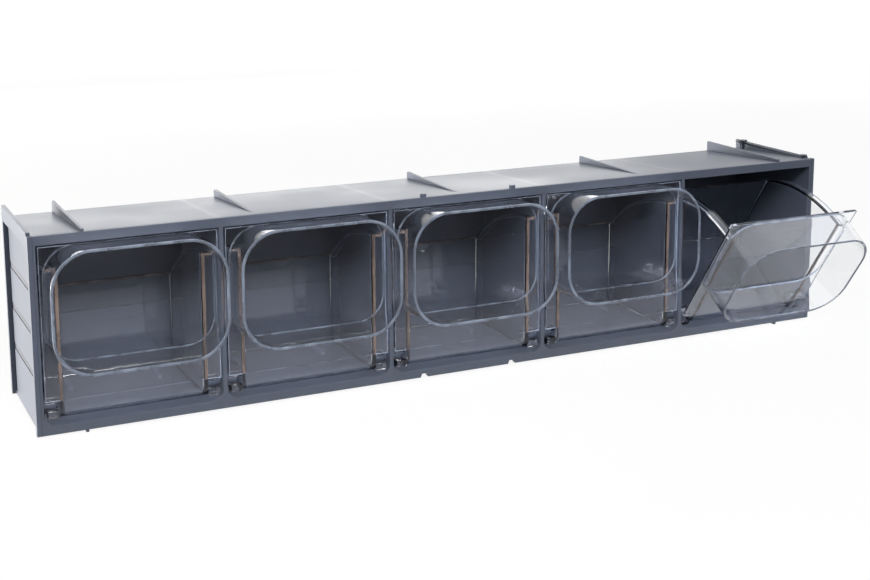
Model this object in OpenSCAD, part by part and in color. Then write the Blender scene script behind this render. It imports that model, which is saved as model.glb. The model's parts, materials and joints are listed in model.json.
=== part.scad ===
// Wall and bench cabinet with five clear tilt-out bins in one moulded frame.
// X runs along the width, Y from the front face to the back, Z up.
// Pieces are drawn with Y = 0 on the front face and Z = 0 at the foot of that
// face, and placed() then moves them so that the origin is in the middle of
// the back face, where the cabinet meets a wall.

/* [Cabinet frame] */
// Width over the front face
cabinet_w = 600; // [540:1:660]
// Height of the front face
cabinet_h = 128; // [122:1:150]
// Depth from the front face to the back face
cabinet_d = 94; // [90:1:120]
// Thickness of the roof, floor and back
wall_t = 2.4; // [1.8:0.1:3]
// How far the roof falls from front to back
roof_drop = 5.8; // [2:0.1:8]

/* [Front face] */
// Height of the rail above the bays
top_rail_h = 6.2; // [5:0.1:9]
// Height of the rail below the bays
bottom_rail_h = 6; // [5:0.1:8]
// Width of the stile at each end
stile_w = 4.8; // [4:0.1:7]
// Depth of the rails and stiles
rail_d = 4; // [3:0.1:6]
// Thickness of the dividers between the bays
divider_t = 3; // [2.4:0.1:4]
// Radius of the bays' lower corners
bay_corner_r = 7; // [4:0.1:9]
// Depth of the webs that round those corners
bay_corner_d = 21; // [14:0.5:40]

/* [Side panels] */
// How far the side panels lie behind the flanges
side_recess = 2.6; // [1.6:0.1:3]
// Height of the grooves that cross each side panel
band_h = 4.5; // [2:0.1:8]
// Depth of those grooves
band_recess = 0.5; // [0.2:0.1:0.8]
// Height of the lowest groove's middle
band_first_z = 35.5; // [25:0.5:45]
// Height from one groove to the next
band_pitch = 28; // [20:0.5:32]
// Depth of the flange at the rear edge
rear_flange_d = 4; // [2:0.1:6]
// Width of the coupling slot in front of that flange
slot_w = 5; // [3:0.1:8]
// Depth of the slot below the side panel's face
slot_recess = 1; // [0.3:0.1:1.2]

/* [Back panel] */
// Height of the step across the inside of the back
back_step_z = 52.5; // [40:0.5:70]
// How far the back stands forward below the step
back_step_d = 1.5; // [0.5:0.1:3]
// Radius of the wall screw holes
screw_r = 2.5; // [2:0.1:3.5]
// Distance of the wall screw holes below the top of the front face
screw_drop = 20; // [16:0.5:40]

/* [Stacking and coupling] */
// Distance of each tall rib from its end of the cabinet
tall_rib_inset = 33.8; // [15:0.1:60]
// Thickness of the tall ribs and of the base ribs
tall_rib_t = 2; // [1.5:0.1:3]
// How far the ribs and rails reach above the front face, and the base ribs below it
rib_rise = 1.9; // [1:0.1:4]
// Play between a base rib and the tall rib of the cabinet below
rib_play = 0.3; // [0.1:0.1:2]
// Distance of the first low rib from the left end
low_rib_left_inset = 146.5; // [100:0.5:180]
// Distance of the last low rib from the right end
low_rib_right_inset = 155.5; // [100:0.5:180]
// Thickness of the low ribs
low_rib_t = 2.4; // [1.5:0.1:4]
// How far the low ribs' tops lie below the front face's top
low_rib_drop = 0.6; // [0.2:0.1:1.5]
// Space between the ribs' ends and the front and back faces
rib_end_gap = 1; // [0.5:0.1:3]
// Half the distance between the two front lugs
lug_x = 34.4; // [20:0.1:50]
// Width of a lug
lug_w = 3.8; // [2:0.1:5]
// Height of a lug
lug_h = 2.5; // [2:0.1:4]
// Play beside a lug in the notch of the cabinet above
lug_play = 1; // [0.3:0.1:1.5]
// Height of those notches
notch_h = 2.6; // [1:0.1:3]
// Thickness of the web of the rail on the right edge
bead_web_t = 1.8; // [1.4:0.1:2.4]
// Radius of the bead on that rail
bead_r = 1.4; // [1:0.1:2]
// Radius of the two round catches on that rail
catch_r = 3; // [2:0.1:3.6]
// Place of each catch from the front or back face
catch_inset = 9; // [6:0.5:15]

/* [Bins] */
// Gap between a bin's front plate and the bay on each side
bin_side_gap = 1.1; // [0.6:0.1:2]
// Gap between the front plate and the top rail
bin_top_gap = 0.9; // [0.5:0.1:2]
// Wall thickness of the clear bins
bin_wall_t = 2.1; // [1.6:0.1:2.6]
// Width of the front plate's margin beside the tub
bin_margin_w = 9; // [7:0.1:12]
// Gap between the tub and the step of the back panel
bin_back_gap = 7; // [4:0.1:12]
// Fall from the plate's top to the top of the tub's sides
tub_side_drop = 14.6; // [8:0.1:25]
// Fall of the tub's sides from front to back
tub_back_drop = 33; // [20:0.5:45]
// Width of the rim that the sides carry outside
rim_w = 4.6; // [2:0.1:6]
// Thickness of that rim
rim_t = 2.1; // [1:0.1:3]

/* [Hood] */
// How far the hood stands out from the plate
hood_d = 29; // [15:0.5:35]
// Height of the hood at the plate
hood_h = 76; // [55:0.5:85]
// Margin of the plate beside the hood
hood_inset = 1.8; // [1:0.1:5]
// Wall thickness of the hood
hood_wall_t = 2; // [1.4:0.1:3]
// Widening of the hood towards its rim on each side
hood_side_flare = 0.6; // [0:0.1:1]
// Rise of the hood's top towards its rim
hood_top_flare = 2.6; // [0:0.1:4]
// Fall of the hood's bottom towards its rim
hood_bottom_flare = 1.1; // [0:0.1:3]
// Corner radius of the hood at the plate
hood_base_r = 20; // [8:0.5:28]
// Corner radius of the hood at its rim
hood_rim_r = 26; // [8:0.5:30]

/* [Hinge] */
// Depth of the pivot behind the front face
pivot_y = 8; // [7.6:0.1:10]
// Height of the pivot above the foot of the front face
pivot_z = 17; // [16.4:0.1:18]
// Radius of the stub pins
pin_r = 2.6; // [2.3:0.05:2.8]
// Radial play of a pin in its clip
pin_play = 0.08; // [0.03:0.01:0.1]
// Space between a clip and the wall of its bay
clip_gap = 2.75; // [1.5:0.05:4]
// Space between the end of a pin and the tub
pin_end_gap = 1.8; // [0.5:0.1:3]
// Thickness of the ring of a clip around its pin
clip_ring_t = 2.4; // [1.8:0.1:3]
// Height of the clip's mouth, a little less than the pin
clip_mouth_h = 4.4; // [3:0.1:4.5]
// Space between the front face and the clip's foot
foot_inset = 0.2; // [0:0.1:1]
// Length of the clip's foot from front to back
foot_l = 12; // [9:0.1:16]
// Bottom edge of the plate's margin above the pivot
margin_rise = 4.6; // [3:0.1:8]
// Angle at which the clip's foot stops on the bay's lower corner
open_angle = 34.5; // [20:0.5:38]
// Gap that the foot keeps to that corner at that angle
stop_gap = 0.1; // [0.05:0.01:0.3]

/* [Bin rests] */
// Width of the ribs that a closed bin rests on
rest_w = 3; // [2:0.1:6]
// Length of those ribs
rest_l = 22; // [10:0.5:40]
// Middle of the bay to the middle of each rib
rest_x = 30; // [10:0.5:40]
// Space between the ribs and the back of the tub
rest_back_gap = 4; // [1:0.5:20]
// Gap between the ribs and a closed bin
rest_gap = 0.1; // [0.05:0.01:0.3]

/* [Hidden] */

// Number of bays, and the bin that stands open
bay_count = 5;
open_bin = 5;
// Number of grooves across a side panel, and of low ribs on the roof
band_count = 3;
low_rib_count = 3;
// Smoothness of round faces, and of the hood's corners
$fn = 64;
corner_facets = 32;
// Overrun of every cut past the face that it opens
over = 1;
// Thickness of the two outlines that the hood is drawn between
skin = 0.01;

frame_colour = [0.34, 0.37, 0.44];
rib_colour = [0.42, 0.45, 0.52];
bin_colour = [0.78, 0.84, 0.9, 0.45];

bay_w = (cabinet_w - 2 * stile_w - (bay_count - 1) * divider_t) / bay_count;
bay_pitch = bay_w + divider_t;
bay_top_z = cabinet_h - top_rail_h;
inner_w = cabinet_w - 2 * stile_w;
panel_w = cabinet_w - 2 * side_recess;
floor_z = bottom_rail_h;
back_y = cabinet_d - wall_t;
back_step_y = back_y - back_step_d;

plate_w = bay_w - 2 * bin_side_gap;
plate_top_z = bay_top_z - bin_top_gap;
tub_w = plate_w - 2 * bin_margin_w;
tub_d = back_step_y - bin_back_gap;
tub_floor_z = pivot_z - pivot_y;
side_top_z = plate_top_z - tub_side_drop;
// Radius of the circle that the tub's sides end on, from its fall over the tub's depth
side_arc_r = (tub_d * tub_d + tub_back_drop * tub_back_drop) / (2 * tub_back_drop);

clip_x = bay_w / 2 - clip_gap;
pin_l = bay_w / 2 - tub_w / 2 - pin_end_gap;
bore_r = pin_r + pin_play;
clip_r = bore_r + clip_ring_t;
// Height of the corner webs under a clip's outer face
corner_run = bay_corner_r - clip_gap;
stop_h = bay_corner_r - sqrt(bay_corner_r * bay_corner_r - corner_run * corner_run);
// Distance from the pivot to the foot's stop face, which lies level when the bin is open
stop_l = pivot_z - floor_z - stop_h - stop_gap;
foot_reach = pivot_y - foot_inset;
foot_drop = stop_l * cos(open_angle);
foot_front_drop = stop_l / cos(open_angle) - foot_reach * tan(open_angle);

screw_z = cabinet_h - screw_drop;
tall_rib_x = cabinet_w / 2 - tall_rib_inset;
base_rib_x = tall_rib_x + tall_rib_t + rib_play;
low_rib_first_x = low_rib_left_inset - cabinet_w / 2;
low_rib_last_x = cabinet_w / 2 - low_rib_right_inset;
low_rib_pitch = (low_rib_last_x - low_rib_first_x) / (low_rib_count - 1);

function bay_x(i) = (i - (bay_count + 1) / 2) * bay_pitch;
function divider_x(i) = bay_x(i) + bay_pitch / 2;
// Top and underside of the roof at a depth behind the front face
function roof_top(y) = cabinet_h - roof_drop * y / cabinet_d;
function roof_under(y) = roof_top(y) - wall_t;

module placed() {
    translate([0, -cabinet_d, -cabinet_h / 2]) children();
}

// Extrudes an outline drawn in Y and Z along X, from x for a width w
module along_x(x, w) {
    translate([x, 0, 0])
        rotate([90, 0, 90])
            linear_extrude(w) children();
}

// Extrudes an outline drawn in X and Z along Y, from y for a depth d
module along_y(y, d) {
    translate([0, y + d, 0])
        rotate([90, 0, 0])
            linear_extrude(d) children();
}

module top_front_rail() {
    color(frame_colour)
        placed()
            translate([-cabinet_w / 2, 0, bay_top_z])
                cube([cabinet_w, rail_d, top_rail_h]);
}

// A notch with sloping sides in the foot of the front face
module lug_notch() {
    half = lug_w / 2 + lug_play;
    polygon([[-half, -over], [half, -over], [half, 0], [lug_w / 2, notch_h],
        [-lug_w / 2, notch_h], [-half, 0]]);
}

module bottom_front_rail() {
    color(frame_colour)
        placed()
            along_y(0, rail_d)
                difference() {
                    translate([-cabinet_w / 2, 0])
                        square([cabinet_w, bottom_rail_h]);
                    for (s = [-1, 1])
                        translate([s * lug_x, 0])
                            lug_notch();
                }
}

// The webs that round the lower corners of the bays
module bay_corner_webs() {
    color(frame_colour)
        placed()
            for (i = [1:bay_count], s = [-1, 1])
                translate([bay_x(i) + s * bay_w / 2, 0, floor_z])
                    along_y(0, bay_corner_d)
                        difference() {
                            translate([-(1 + s) * bay_corner_r / 2, 0])
                                square(bay_corner_r);
                            translate([-s * bay_corner_r, bay_corner_r])
                                circle(bay_corner_r);
                        }
}

module roof_panel() {
    color(frame_colour)
        placed()
            along_x(-panel_w / 2, panel_w)
                polygon([[rail_d, roof_top(rail_d)], [cabinet_d, roof_top(cabinet_d)],
                    [cabinet_d, roof_under(cabinet_d)], [rail_d, roof_under(rail_d)]]);
}

module floor_panel() {
    color(frame_colour)
        placed()
            translate([-inner_w / 2, rail_d, floor_z - wall_t])
                cube([inner_w, back_y - rail_d, wall_t]);
}

module back_panel() {
    color(frame_colour)
        placed()
            difference() {
                along_x(-inner_w / 2, inner_w)
                    polygon([[cabinet_d, 0], [cabinet_d, roof_under(cabinet_d)],
                        [back_y, roof_under(back_y)], [back_y, back_step_z],
                        [back_step_y, back_step_z], [back_step_y, floor_z],
                        [back_y, floor_z], [back_y, 0]]);
                for (i = [1, bay_count])
                    translate([bay_x(i), back_y - over, screw_z])
                        rotate([-90, 0, 0])
                            cylinder(h = wall_t + 2 * over, r = screw_r);
            }
}

// A side panel, drawn for the left end
module side_panel() {
    face_x = -cabinet_w / 2;
    slot_y = cabinet_d - rear_flange_d - slot_w;
    difference() {
        union() {
            along_x(face_x + side_recess, stile_w - side_recess)
                polygon([[rail_d, 0], [cabinet_d, 0], [cabinet_d, roof_under(cabinet_d)],
                    [rail_d, roof_under(rail_d)]]);
            translate([face_x, 0, bottom_rail_h])
                cube([stile_w, rail_d, bay_top_z - bottom_rail_h]);
            translate([face_x, cabinet_d - rear_flange_d, 0])
                cube([side_recess, rear_flange_d, roof_under(cabinet_d)]);
        }
        for (k = [0:band_count - 1])
            translate([face_x, rail_d, band_first_z + k * band_pitch - band_h / 2])
                cube([side_recess + band_recess, slot_y - rail_d, band_h]);
        translate([face_x, slot_y, wall_t])
            cube([side_recess + slot_recess, slot_w, roof_under(cabinet_d) - 2 * wall_t]);
    }
}

module left_side_panel() {
    color(frame_colour)
        placed()
            side_panel();
}

module right_side_panel() {
    color(frame_colour)
        placed()
            mirror([1, 0, 0])
                side_panel();
}

module divider(i) {
    color(frame_colour)
        placed()
            along_x(divider_x(i) - divider_t / 2, divider_t)
                polygon([[0, floor_z], [back_step_y, floor_z], [back_step_y, back_step_z],
                    [back_y, back_step_z], [back_y, roof_under(back_y)],
                    [rail_d, roof_under(rail_d)], [rail_d, bay_top_z], [0, bay_top_z]]);
}

// Two stub pins in each bay, one on each wall
module hinge_pins() {
    color(frame_colour)
        placed()
            for (i = [1:bay_count], s = [-1, 1])
                translate([bay_x(i) + s * bay_w / 2, pivot_y, pivot_z])
                    rotate([0, -s * 90, 0])
                        cylinder(h = pin_l, r = pin_r);
}

// Two low ribs in each bay that carry the rear of a closed bin
module bin_rests() {
    color(frame_colour)
        placed()
            for (i = [1:bay_count], s = [-1, 1])
                translate([bay_x(i) + s * rest_x - rest_w / 2, tub_d - rest_back_gap - rest_l, floor_z])
                    cube([rest_w, rest_l, tub_floor_z - rest_gap - floor_z]);
}

// A rib with a level top that crosses the front rail and the roof
module tall_rib(x) {
    y1 = cabinet_d - rib_end_gap;
    top_z = cabinet_h + rib_rise;
    along_x(x - tall_rib_t / 2, tall_rib_t)
        polygon([[rib_end_gap, cabinet_h], [rail_d, cabinet_h], [rail_d, roof_top(rail_d)],
            [y1, roof_top(y1)], [y1, top_z], [rib_end_gap, top_z]]);
}

module left_tall_rib() {
    color(rib_colour)
        placed()
            tall_rib(-tall_rib_x);
}

module right_tall_rib() {
    color(rib_colour)
        placed()
            tall_rib(tall_rib_x);
}

// A rib with a level top that rises out of the falling roof
module low_rib(k) {
    x = low_rib_first_x + (k - 1) * low_rib_pitch;
    y0 = low_rib_drop * cabinet_d / roof_drop;
    y1 = cabinet_d - rib_end_gap;
    color(rib_colour)
        placed()
            along_x(x - low_rib_t / 2, low_rib_t)
                polygon([[y0, roof_top(y0)], [y1, roof_top(y1)], [y1, roof_top(y0)]]);
}

// A rib under the floor that the cabinet stands on
module base_rib(x) {
    along_x(x - tall_rib_t / 2, tall_rib_t)
        polygon([[rib_end_gap, -rib_rise], [back_y, -rib_rise], [back_y, floor_z - wall_t],
            [rail_d, floor_z - wall_t], [rail_d, 0], [rib_end_gap, 0]]);
}

module left_base_rib() {
    color(rib_colour)
        placed()
            base_rib(-base_rib_x);
}

module right_base_rib() {
    color(rib_colour)
        placed()
            base_rib(base_rib_x);
}

// The upright flange along the roof's left end
module left_edge_rail() {
    foot_z = roof_under(cabinet_d);
    color(rib_colour)
        placed()
            translate([-cabinet_w / 2, rail_d, foot_z])
                cube([side_recess, cabinet_d - rail_d, cabinet_h + rib_rise - foot_z]);
}

// The beaded rail along the roof's right end, with a round catch near each end
module right_bead_rail() {
    y0 = rail_d + rib_end_gap;
    x = panel_w / 2 - bead_r;
    foot_z = roof_top(cabinet_d);
    top_z = cabinet_h + rib_rise;
    color(rib_colour)
        placed() {
            along_x(x - bead_web_t / 2, bead_web_t)
                polygon([[y0, roof_top(y0)], [cabinet_d, foot_z], [cabinet_d, cabinet_h],
                    [y0, cabinet_h]]);
            // The bead and the catches end on the falling roof
            intersection() {
                union() {
                    translate([x, y0, cabinet_h])
                        rotate([-90, 0, 0])
                            cylinder(h = cabinet_d - y0, r = bead_r);
                    for (y = [catch_inset, cabinet_d - catch_inset])
                        translate([x, y, foot_z])
                            cylinder(h = top_z - foot_z, r = catch_r);
                }
                along_x(x - catch_r, 2 * catch_r)
                    polygon([[0, roof_top(0)], [cabinet_d, foot_z], [cabinet_d, top_z],
                        [0, top_z]]);
            }
        }
}

module front_lugs() {
    color(rib_colour)
        placed()
            for (s = [-1, 1])
                translate([s * lug_x - lug_w / 2, 0, cabinet_h])
                    cube([lug_w, rail_d - rib_end_gap, lug_h]);
}

// Places a bin's piece in bay i, tilted about its pins when the bin stands open
module in_bay(i) {
    placed()
        translate([bay_x(i), pivot_y, pivot_z])
            rotate([i == open_bin ? open_angle : 0, 0, 0])
                translate([0, -pivot_y, -pivot_z])
                    children();
}

// Outline of the tub in Y and Z, wall_t inside its outer faces
module tub_outline(inset) {
    translate([pivot_y, tub_floor_z + inset])
        square([tub_d - inset - pivot_y, cabinet_h]);
    translate([inset, pivot_z])
        square([pivot_y, cabinet_h]);
    translate([pivot_y, pivot_z])
        circle(pivot_y - inset);
}

// The disc whose edge gives the top of the tub's sides, lowered by drop
module side_disc(drop) {
    translate([0, side_top_z - side_arc_r])
        circle(side_arc_r - drop, $fn = 4 * $fn);
}

module tub() {
    difference() {
        along_x(-tub_w / 2, tub_w)
            difference() {
                intersection() {
                    tub_outline(0);
                    side_disc(0);
                }
                translate([-over, pivot_z])
                    square([bin_wall_t + over, cabinet_h]);
            }
        along_x(bin_wall_t - tub_w / 2, tub_w - 2 * bin_wall_t)
            tub_outline(bin_wall_t);
    }
    for (s = [-1, 1])
        along_x(s * (tub_w + rim_w) / 2 - rim_w / 2, rim_w)
            intersection() {
                difference() {
                    side_disc(0);
                    side_disc(rim_t);
                }
                translate([bin_wall_t, pivot_z])
                    square([tub_d - bin_wall_t, cabinet_h]);
            }
}

module front_plate() {
    along_y(0, bin_wall_t) {
        translate([-tub_w / 2, pivot_z])
            square([tub_w, plate_top_z - pivot_z]);
        for (s = [-1, 1])
            translate([s * (plate_w - bin_margin_w) / 2 - bin_margin_w / 2, pivot_z + margin_rise])
                square([bin_margin_w, plate_top_z - pivot_z - margin_rise]);
    }
}

// A thin rounded rectangle at the depth y, from z0 to z1 and half wide on each side
module hood_outline(y, half, z0, z1, r) {
    hull()
        for (x = [r - half, half - r], z = [z0 + r, z1 - r])
            translate([x, y, z])
                rotate([-90, 0, 0])
                    cylinder(h = skin, r = r, $fn = corner_facets);
}

// The solid that fills the hood, shrunk on all sides by inset
module hood_block(inset, y0, y1) {
    base_half = plate_w / 2 - hood_inset - inset;
    base_top = plate_top_z - inset;
    base_bottom = plate_top_z - hood_h + inset;
    hull() {
        hood_outline(y1 - skin, base_half, base_bottom, base_top, hood_base_r - inset);
        hood_outline(y0, base_half + hood_side_flare, base_bottom - hood_bottom_flare,
            base_top + hood_top_flare, hood_rim_r - inset);
    }
}

module hood() {
    difference() {
        hood_block(0, -hood_d, 0);
        hood_block(hood_wall_t, -hood_d - skin, skin);
    }
}

// One clip, drawn about its pin: a ring that opens to the front over a foot with a stop face
module clip_outline() {
    mouth = clip_mouth_h / 2;
    difference() {
        union() {
            circle(clip_r);
            polygon([[-foot_reach, -mouth], [-foot_reach, -foot_front_drop],
                [-stop_l * sin(open_angle), -foot_drop], [foot_l - foot_reach, -foot_drop],
                [foot_l - foot_reach, -mouth]]);
        }
        circle(bore_r);
        translate([-foot_reach - over, -mouth])
            square([foot_reach + over, clip_mouth_h]);
    }
}

module hinge_clips() {
    for (s = [-1, 1])
        along_x(s * (tub_w / 2 + clip_x) / 2 - (clip_x - tub_w / 2) / 2, clip_x - tub_w / 2)
            translate([pivot_y, pivot_z])
                clip_outline();
}

module bin_tub(i) {
    color(bin_colour)
        in_bay(i)
            tub();
}

module bin_front_plate(i) {
    color(bin_colour)
        in_bay(i)
            front_plate();
}

module bin_hood(i) {
    color(bin_colour)
        in_bay(i)
            hood();
}

module bin_hinge_clips(i) {
    color(bin_colour)
        in_bay(i)
            hinge_clips();
}

top_front_rail();
bottom_front_rail();
roof_panel();
floor_panel();
back_panel();
left_side_panel();
right_side_panel();
divider(1);  // divider_1
divider(2);  // divider_2
divider(3);  // divider_3
divider(4);  // divider_4
bay_corner_webs();
hinge_pins();
bin_rests();
left_tall_rib();
right_tall_rib();
low_rib(1);  // low_rib_1
low_rib(2);  // low_rib_2
low_rib(3);  // low_rib_3
left_base_rib();
right_base_rib();
left_edge_rail();
right_bead_rail();
front_lugs();
bin_tub(1);  // bin_1_tub
bin_front_plate(1);  // bin_1_front_plate
bin_hood(1);  // bin_1_hood
bin_hinge_clips(1);  // bin_1_hinge_clips
bin_tub(2);  // bin_2_tub
bin_front_plate(2);  // bin_2_front_plate
bin_hood(2);  // bin_2_hood
bin_hinge_clips(2);  // bin_2_hinge_clips
bin_tub(3);  // bin_3_tub
bin_front_plate(3);  // bin_3_front_plate
bin_hood(3);  // bin_3_hood
bin_hinge_clips(3);  // bin_3_hinge_clips
bin_tub(4);  // bin_4_tub
bin_front_plate(4);  // bin_4_front_plate
bin_hood(4);  // bin_4_hood
bin_hinge_clips(4);  // bin_4_hinge_clips
bin_tub(5);  // bin_5_tub
bin_front_plate(5);  // bin_5_front_plate
bin_hood(5);  // bin_5_hood
bin_hinge_clips(5);  // bin_5_hinge_clips
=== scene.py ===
"""Dresses the tilt bin cabinet: its moulded frame, its five clear bins and the studio round them.

Everything is in metres, in the frame of the CAD model: the origin is in the middle of the back
face, X runs to the right, Y runs backwards and Z runs up.
"""

import json
import logging
import math
from collections.abc import Callable
from dataclasses import dataclass
from enum import Enum
from typing import Any

import bmesh
import bpy
from mathutils import Matrix, Vector

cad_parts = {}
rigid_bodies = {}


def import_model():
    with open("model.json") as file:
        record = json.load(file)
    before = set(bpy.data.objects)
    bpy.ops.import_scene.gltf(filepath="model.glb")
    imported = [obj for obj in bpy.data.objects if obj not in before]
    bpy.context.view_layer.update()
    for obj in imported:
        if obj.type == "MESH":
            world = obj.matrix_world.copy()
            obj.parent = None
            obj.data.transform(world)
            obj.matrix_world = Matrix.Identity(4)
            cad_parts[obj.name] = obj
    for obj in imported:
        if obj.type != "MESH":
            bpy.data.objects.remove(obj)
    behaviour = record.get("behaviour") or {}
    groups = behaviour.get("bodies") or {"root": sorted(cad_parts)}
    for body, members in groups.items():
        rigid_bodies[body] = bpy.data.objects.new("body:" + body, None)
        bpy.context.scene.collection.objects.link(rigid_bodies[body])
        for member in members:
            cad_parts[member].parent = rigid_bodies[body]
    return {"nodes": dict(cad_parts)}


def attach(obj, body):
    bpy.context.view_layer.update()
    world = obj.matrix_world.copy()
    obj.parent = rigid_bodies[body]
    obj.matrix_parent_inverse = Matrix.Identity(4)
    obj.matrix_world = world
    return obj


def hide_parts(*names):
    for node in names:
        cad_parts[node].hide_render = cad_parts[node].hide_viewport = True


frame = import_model()

log = logging.getLogger("cabinet")

MM = 0.001
BAY_COUNT = 5
BAY_PITCH = 118.68 * MM
OPEN_BIN = 5
DEPTH = 94 * MM
# Points nearer than this are one point
WELD = 0.000002
# How far a point may lie from a plane and still count as on it
NEAR = 0.01 * MM
# How far a cutter reaches past what it cuts
SPARE = 5 * MM
# A rounding that would use up its edges whole is made smaller by this factor
SHY = 0.999
# Faces that meet at less than this angle are one flat face
FLAT = math.radians(0.4)
# A face looks upwards when its normal's Z is above this
UPWARDS = 0.6


class Body(Enum):
    """The body that a piece moves with, where it isn't one of the bins."""

    FRAME = "frame"


class Slot(Enum):
    """The record's material slots."""

    FRAME = "frame"
    BINS = "bins"


class Glaze(Enum):
    """The places of a bin's three finishes among its material slots: clear, and two with a pale
    layer of painted light for what rims and wall ends gather.
    """

    CLEAR = 0
    RIM = 1
    WALL_END = 2


class Pick(Enum):
    """What an edit selects."""

    VERTS = "VERT"
    EDGES = "EDGE"
    FACES = "FACE"


# Shader building


class Value:
    """A number or colour on its way through a material. Sums with it add Math nodes."""

    def __init__(self, sheet: "Sheet", socket: bpy.types.NodeSocket) -> None:
        """Wrap an output socket of a node on the sheet."""
        self.sheet = sheet
        self.socket = socket

    def __add__(self, other: "Value | float") -> "Value":
        """Self plus other."""
        return self.sheet.maths("ADD", self, other)

    __radd__ = __add__

    def __sub__(self, other: "Value | float") -> "Value":
        """Self minus other."""
        return self.sheet.maths("SUBTRACT", self, other)

    def __rsub__(self, other: float) -> "Value":
        """Other minus self."""
        return self.sheet.maths("SUBTRACT", other, self)

    def __mul__(self, other: "Value | float") -> "Value":
        """Self times other."""
        return self.sheet.maths("MULTIPLY", self, other)

    def __abs__(self) -> "Value":
        """Self without its sign."""
        return self.sheet.maths("ABSOLUTE", self)

    def held(self) -> "Value":
        """Self held between 0 and 1."""
        return self.sheet.maths("ADD", self, 0.0, clamp=True)


class Sheet:
    """A node tree, with one method that adds nodes and a few that name common ones."""

    def __init__(self, holder: bpy.types.Material | bpy.types.World) -> None:
        """Empty the tree of a new material or world.

        Args:
            holder: The material or world.
        """
        self.holder = holder
        holder.use_nodes = True
        self.tree = holder.node_tree
        self.tree.nodes.clear()

    def node(self, kind: str, settings: dict[str, Any] | None = None,
             inputs: dict[str | int, Any] | None = None) -> bpy.types.Node:
        """Add a node.

        Args:
            kind: The node's type.
            settings: Its properties.
            inputs: A number, colour or Value for each of its sockets.

        Returns:
            The node.
        """
        made = self.tree.nodes.new(kind)
        for key, value in (settings or {}).items():
            setattr(made, key, value)
        for key, value in (inputs or {}).items():
            if isinstance(value, Value):
                self.tree.links.new(value.socket, made.inputs[key])
            else:
                made.inputs[key].default_value = value
        return made

    def value(self, made: bpy.types.Node, output: str | int = 0) -> Value:
        """The output of a node as a Value."""
        return Value(self, made.outputs[output])

    def maths(self, operation: str, a: Value | float, b: Value | float = 0.0,
              clamp: bool = False) -> Value:
        """Add a Math node.

        Args:
            operation: Its operation.
            a: Its first input.
            b: Its second input.
            clamp: Whether the result is held between 0 and 1.

        Returns:
            The result.
        """
        return self.value(self.node("ShaderNodeMath", {"operation": operation, "use_clamp": clamp},
                                    {0: a, 1: b}))

    def place(self, scale: tuple[float, float, float] = (1, 1, 1)) -> Value:
        """The point on the object, stretched by a scale along each axis."""
        raw = self.value(self.node("ShaderNodeTexCoord"), "Object")
        return self.value(self.node("ShaderNodeMapping", {}, {"Vector": raw, "Scale": scale}))

    def axis(self, name: str) -> Value:
        """One coordinate of the point on the object, by its letter."""
        raw = self.value(self.node("ShaderNodeTexCoord"), "Object")
        return self.value(self.node("ShaderNodeSeparateXYZ", {}, {0: raw}), name)

    def noise(self, scale: float, detail: float = 2.0, rough: float = 0.5,
              stretch: tuple[float, float, float] = (1, 1, 1), seed: float = 0.0) -> Value:
        """Soft noise.

        Args:
            scale: Its waves in each metre.
            detail: How many finer layers it has.
            rough: How strong those layers are.
            stretch: A factor on its scale along each axis.
            seed: Which of its many patterns it is.

        Returns:
            The noise, from 0 to 1.
        """
        return self.value(self.node(
            "ShaderNodeTexNoise", {"noise_dimensions": "4D"},
            {"Vector": self.place(stretch), "W": seed, "Scale": scale, "Detail": detail,
             "Roughness": rough}))

    def span(self, value: Value, low: float, high: float, to_low: float = 0.0,
             to_high: float = 1.0) -> Value:
        """Spread a range of a value smoothly over another range.

        Args:
            value: The value.
            low: Where the range starts.
            high: Where it ends.
            to_low: What its start becomes.
            to_high: What its end becomes.

        Returns:
            The value in the new range, held within it.
        """
        return self.value(self.node(
            "ShaderNodeMapRange", {"interpolation_type": "SMOOTHSTEP"},
            {"Value": value, "From Min": low, "From Max": high, "To Min": to_low,
             "To Max": to_high}))

    def tint(self, factor: Value | float, a: Any, b: Any) -> Value:
        """A colour between two colours."""
        return self.value(self.node("ShaderNodeMix", {"data_type": "RGBA"},
                                    {0: factor, 6: a, 7: b}), 2)

    def blend(self, factor: Value, a: Value | float, b: Value | float) -> Value:
        """A number between two numbers."""
        return self.value(self.node("ShaderNodeMix", {}, {0: factor, 2: a, 3: b}))

    def mixed(self, factor: Value, a: Value, b: Value) -> Value:
        """A shader between two shaders."""
        return self.value(self.node("ShaderNodeMixShader", {}, {0: factor, 1: a, 2: b}))

    def bump(self, height: Value, depth: float, strength: float = 1.0,
             under: Value | None = None) -> Value:
        """Turn a height into a surface direction.

        Args:
            height: The height, from 0 to 1.
            depth: How many metres 1 stands for.
            strength: How much of it shows.
            under: Another bump that this one lies on.

        Returns:
            The direction for a Normal socket.
        """
        inputs = {"Height": height, "Distance": depth, "Strength": strength}
        if under is not None:
            inputs["Normal"] = under
        return self.value(self.node("ShaderNodeBump", {}, inputs))

    def principled(self, inputs: dict[str | int, Any]) -> Value:
        """A Principled shader with these sockets."""
        return self.value(self.node("ShaderNodeBsdfPrincipled", {}, inputs))

    def finished(self, shader: Value) -> bpy.types.Material:
        """Put a shader on the material's surface and hand the material over."""
        self.node("ShaderNodeOutputMaterial", {}, {"Surface": shader})
        return self.holder


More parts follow.
